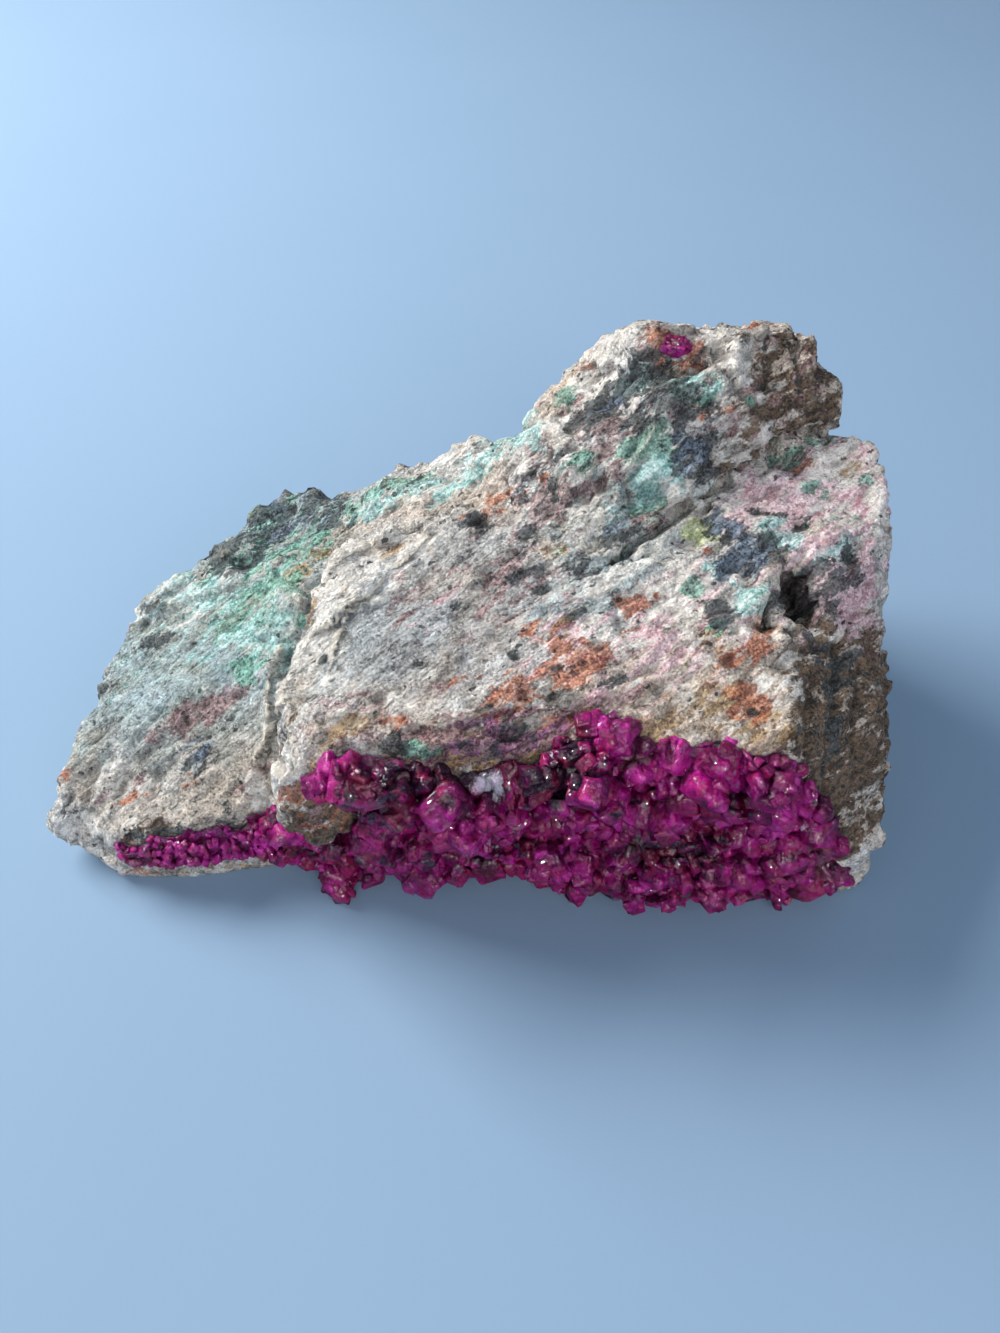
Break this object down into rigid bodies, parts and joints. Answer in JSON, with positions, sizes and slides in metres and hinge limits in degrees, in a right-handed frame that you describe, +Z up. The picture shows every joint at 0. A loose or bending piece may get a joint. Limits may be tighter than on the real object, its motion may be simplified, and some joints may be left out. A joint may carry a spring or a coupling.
{
  "type": "cobaltocalcite mineral specimen",
  "caption": "Hand-sized mineral specimen: a block of laminated host rock with a druse of pink rhombohedral calcite crystals on its front wall. Stands on its flat underside.",
  "frame": {"origin": "on the ground, under the middle of the bounding box", "axes": "+Z up, +X along the specimen from its low shelf to its high end, +Y from the druse to the back"},
  "size_m": [0.116, 0.0658, 0.0586],
  "materials": {
    "host_rock": "matt broken limestone, grey-white with black specks, green, rust and mauve stains",
    "cobaltocalcite": "glassy translucent magenta calcite"
  },
  "bodies": {
    "root": {"host_rock": "host_rock", "crystal_druse": "cobaltocalcite", "ridge_crystal_tuft": "cobaltocalcite"}
  },
  "joints": []
}
